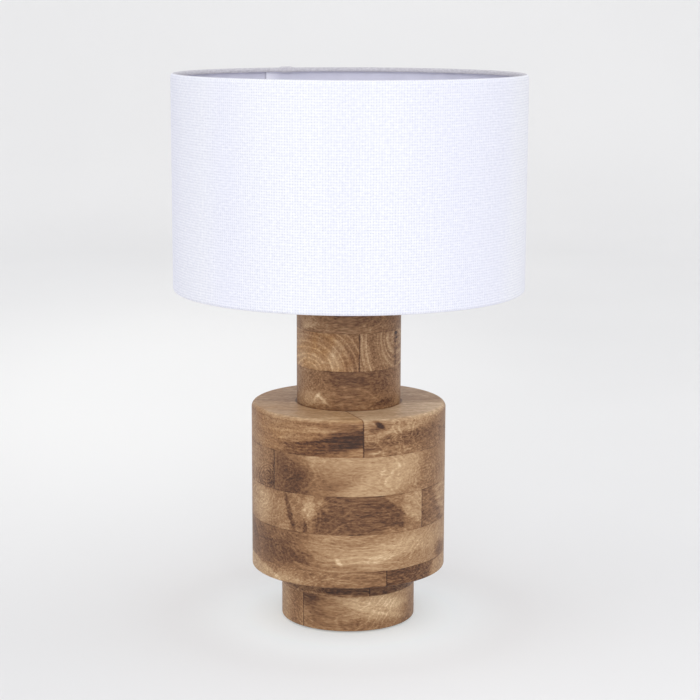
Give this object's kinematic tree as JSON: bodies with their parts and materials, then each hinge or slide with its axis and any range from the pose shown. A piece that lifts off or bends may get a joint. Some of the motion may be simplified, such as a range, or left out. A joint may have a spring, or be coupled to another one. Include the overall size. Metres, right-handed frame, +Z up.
{
  "type": "column table lamp",
  "caption": "Table lamp with a stepped turned wooden column built of glued boards and a wide white linen drum shade on a ring fitter.",
  "frame": {"origin": "middle of the underside, on the surface the lamp stands on", "axes": "+Z up along the column's turning axis, -Y towards the front, +Y towards the cord inlet at the back"},
  "size_m": [0.35, 0.35, 0.5499],
  "materials": {
    "mango_wood": "light waxed, open grain",
    "felt": "pressed felt",
    "zinc_steel": "zinc plated",
    "white_plastic": "moulded, satin",
    "cream_ceramic_plastic": "moulded insulator",
    "brass": "drawn, bright",
    "white_enamel": "powder coated",
    "styrene_liner": "matt film",
    "white_linen": "plain-weave linen, laminated",
    "opal_glass": "opal",
    "nickel_cap": "nickel plated",
    "black_insulator": "vitrified"
  },
  "bodies": {
    "base": {"belly_high_plank_left": "mango_wood", "belly_high_plank_right": "mango_wood", "belly_low_plank_back": "mango_wood", "belly_low_plank_front": "mango_wood", "belly_mid_plank_left": "mango_wood", "belly_mid_plank_right": "mango_wood", "foot_plank_left": "mango_wood", "foot_plank_right": "mango_wood", "neck_low_plank_back": "mango_wood", "neck_low_plank_front": "mango_wood", "neck_mid_plank_left": "mango_wood", "neck_mid_plank_right": "mango_wood", "neck_top_plank_back": "mango_wood", "neck_top_plank_front": "mango_wood", "shoulder_plank_left": "mango_wood", "shoulder_plank_right": "mango_wood", "step_plank_left": "mango_wood", "step_plank_right": "mango_wood", "felt_pad": "felt", "threaded_tube": "zinc_steel", "bottom_washer": "zinc_steel", "bottom_nut": "zinc_steel", "check_ring": "zinc_steel", "top_nut": "zinc_steel", "cord_bushing": "white_plastic", "holder_cap": "white_plastic", "holder_core": "cream_ceramic_plastic", "holder_skirt": "white_plastic", "screw_shell": "brass", "holder_contact": "brass", "terminal_screws": "zinc_steel"},
    "support_ring": {"support_ring": "white_plastic"},
    "shade_carrier": {"fitter_plate": "white_enamel"},
    "retaining_ring": {"retaining_ring": "white_plastic"},
    "shade": {"shade_fabric": "white_linen", "shade_liner": "styrene_liner", "top_hem": "white_linen", "bottom_hem": "white_linen", "top_wire": "white_enamel", "bottom_wire": "white_enamel", "fitter_arm_1": "white_enamel", "fitter_arm_2": "white_enamel", "fitter_arm_3": "white_enamel"},
    "bulb_contact": {"bulb_contact": "nickel_cap"},
    "bulb": {"bulb_globe": "opal_glass", "bulb_collar": "white_plastic", "bulb_screw_cap": "nickel_cap", "bulb_insulator": "black_insulator", "bulb_led_board": "white_plastic"}
  },
  "joints": [
    {"name": "support_ring_turn", "type": "hinge", "parent": "base", "child": "support_ring", "pos_m": [0, 0, 0.3732], "axis": [0, 0, 1], "continuous": true},
    {"name": "shade_lift", "type": "slide", "parent": "base", "child": "shade_carrier", "axis": [0, 0, 1], "range_m": [0, 0.15]},
    {"name": "retaining_ring_turn", "type": "hinge", "parent": "shade_carrier", "child": "retaining_ring", "pos_m": [0, 0, 0.381], "axis": [0, 0, 1], "continuous": true},
    {"name": "shade_turn", "type": "hinge", "parent": "shade_carrier", "child": "shade", "pos_m": [0, 0, 0.3772], "axis": [0, 0, 1], "continuous": true},
    {"name": "bulb_climb", "type": "slide", "parent": "base", "child": "bulb_contact", "axis": [0, 0, 1], "range_m": [0, 0.02]},
    {"name": "bulb_turn", "type": "hinge", "parent": "bulb_contact", "child": "bulb", "pos_m": [0, 0, 0.39], "axis": [0, 0, 1], "range_deg": [0, 1980]}
  ],
  "couplings": [
    {"joint": "bulb_climb", "follows": "bulb_turn", "m_per_rad": 0.00057757}
  ]
}
